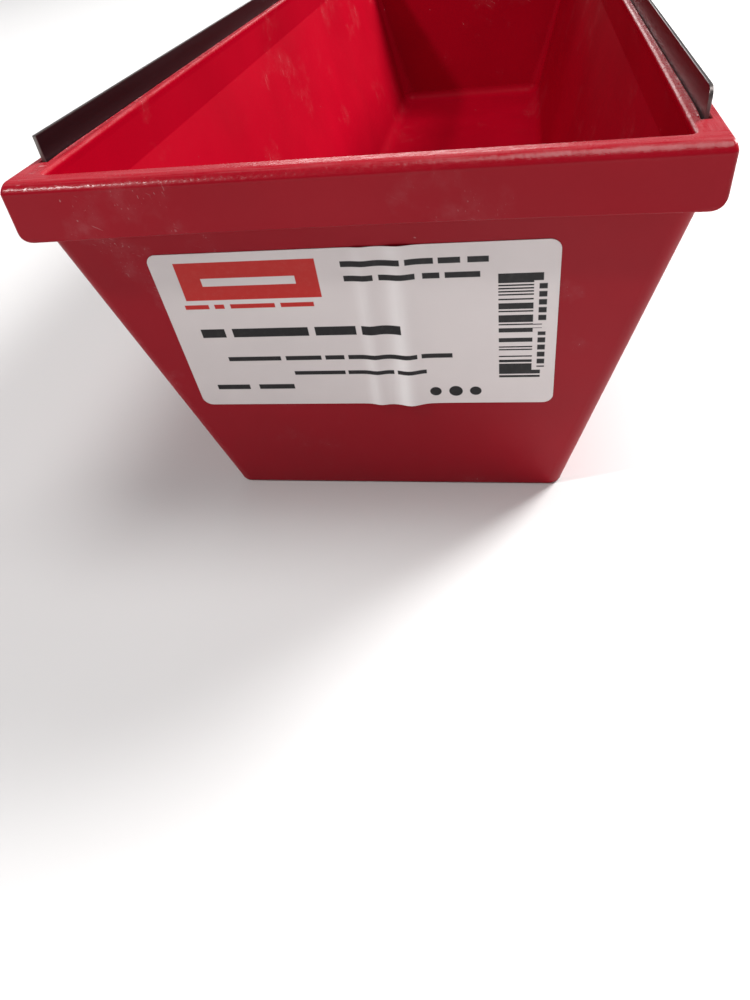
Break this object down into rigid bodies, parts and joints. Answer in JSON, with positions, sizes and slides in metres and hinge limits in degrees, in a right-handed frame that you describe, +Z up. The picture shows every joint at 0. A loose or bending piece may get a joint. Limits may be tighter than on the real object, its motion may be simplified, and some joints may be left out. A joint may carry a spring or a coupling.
{
  "type": "mud pan",
  "caption": "Long trough pan for drywall compound: leaning walls, turned-down rim band, steel wiping edges in the long rims and a blank-style label on one end.",
  "frame": {"origin": "middle of the underside, on the surface that the pan stands on", "axes": "+X across the pan, +Y along it away from the end that has the label, +Z up"},
  "size_m": [0.116, 0.38, 0.0809],
  "materials": {
    "red_plastic": "satin-gloss injection moulded polypropylene, solid red, lightly scuffed",
    "dark_steel": "blued spring steel strip, near black, with bare grey cut edges",
    "label_paper": null
  },
  "bodies": {
    "root": {"pan_body": "red_plastic", "left_edge": "dark_steel", "right_edge": "dark_steel", "label": "label_paper"}
  },
  "joints": []
}
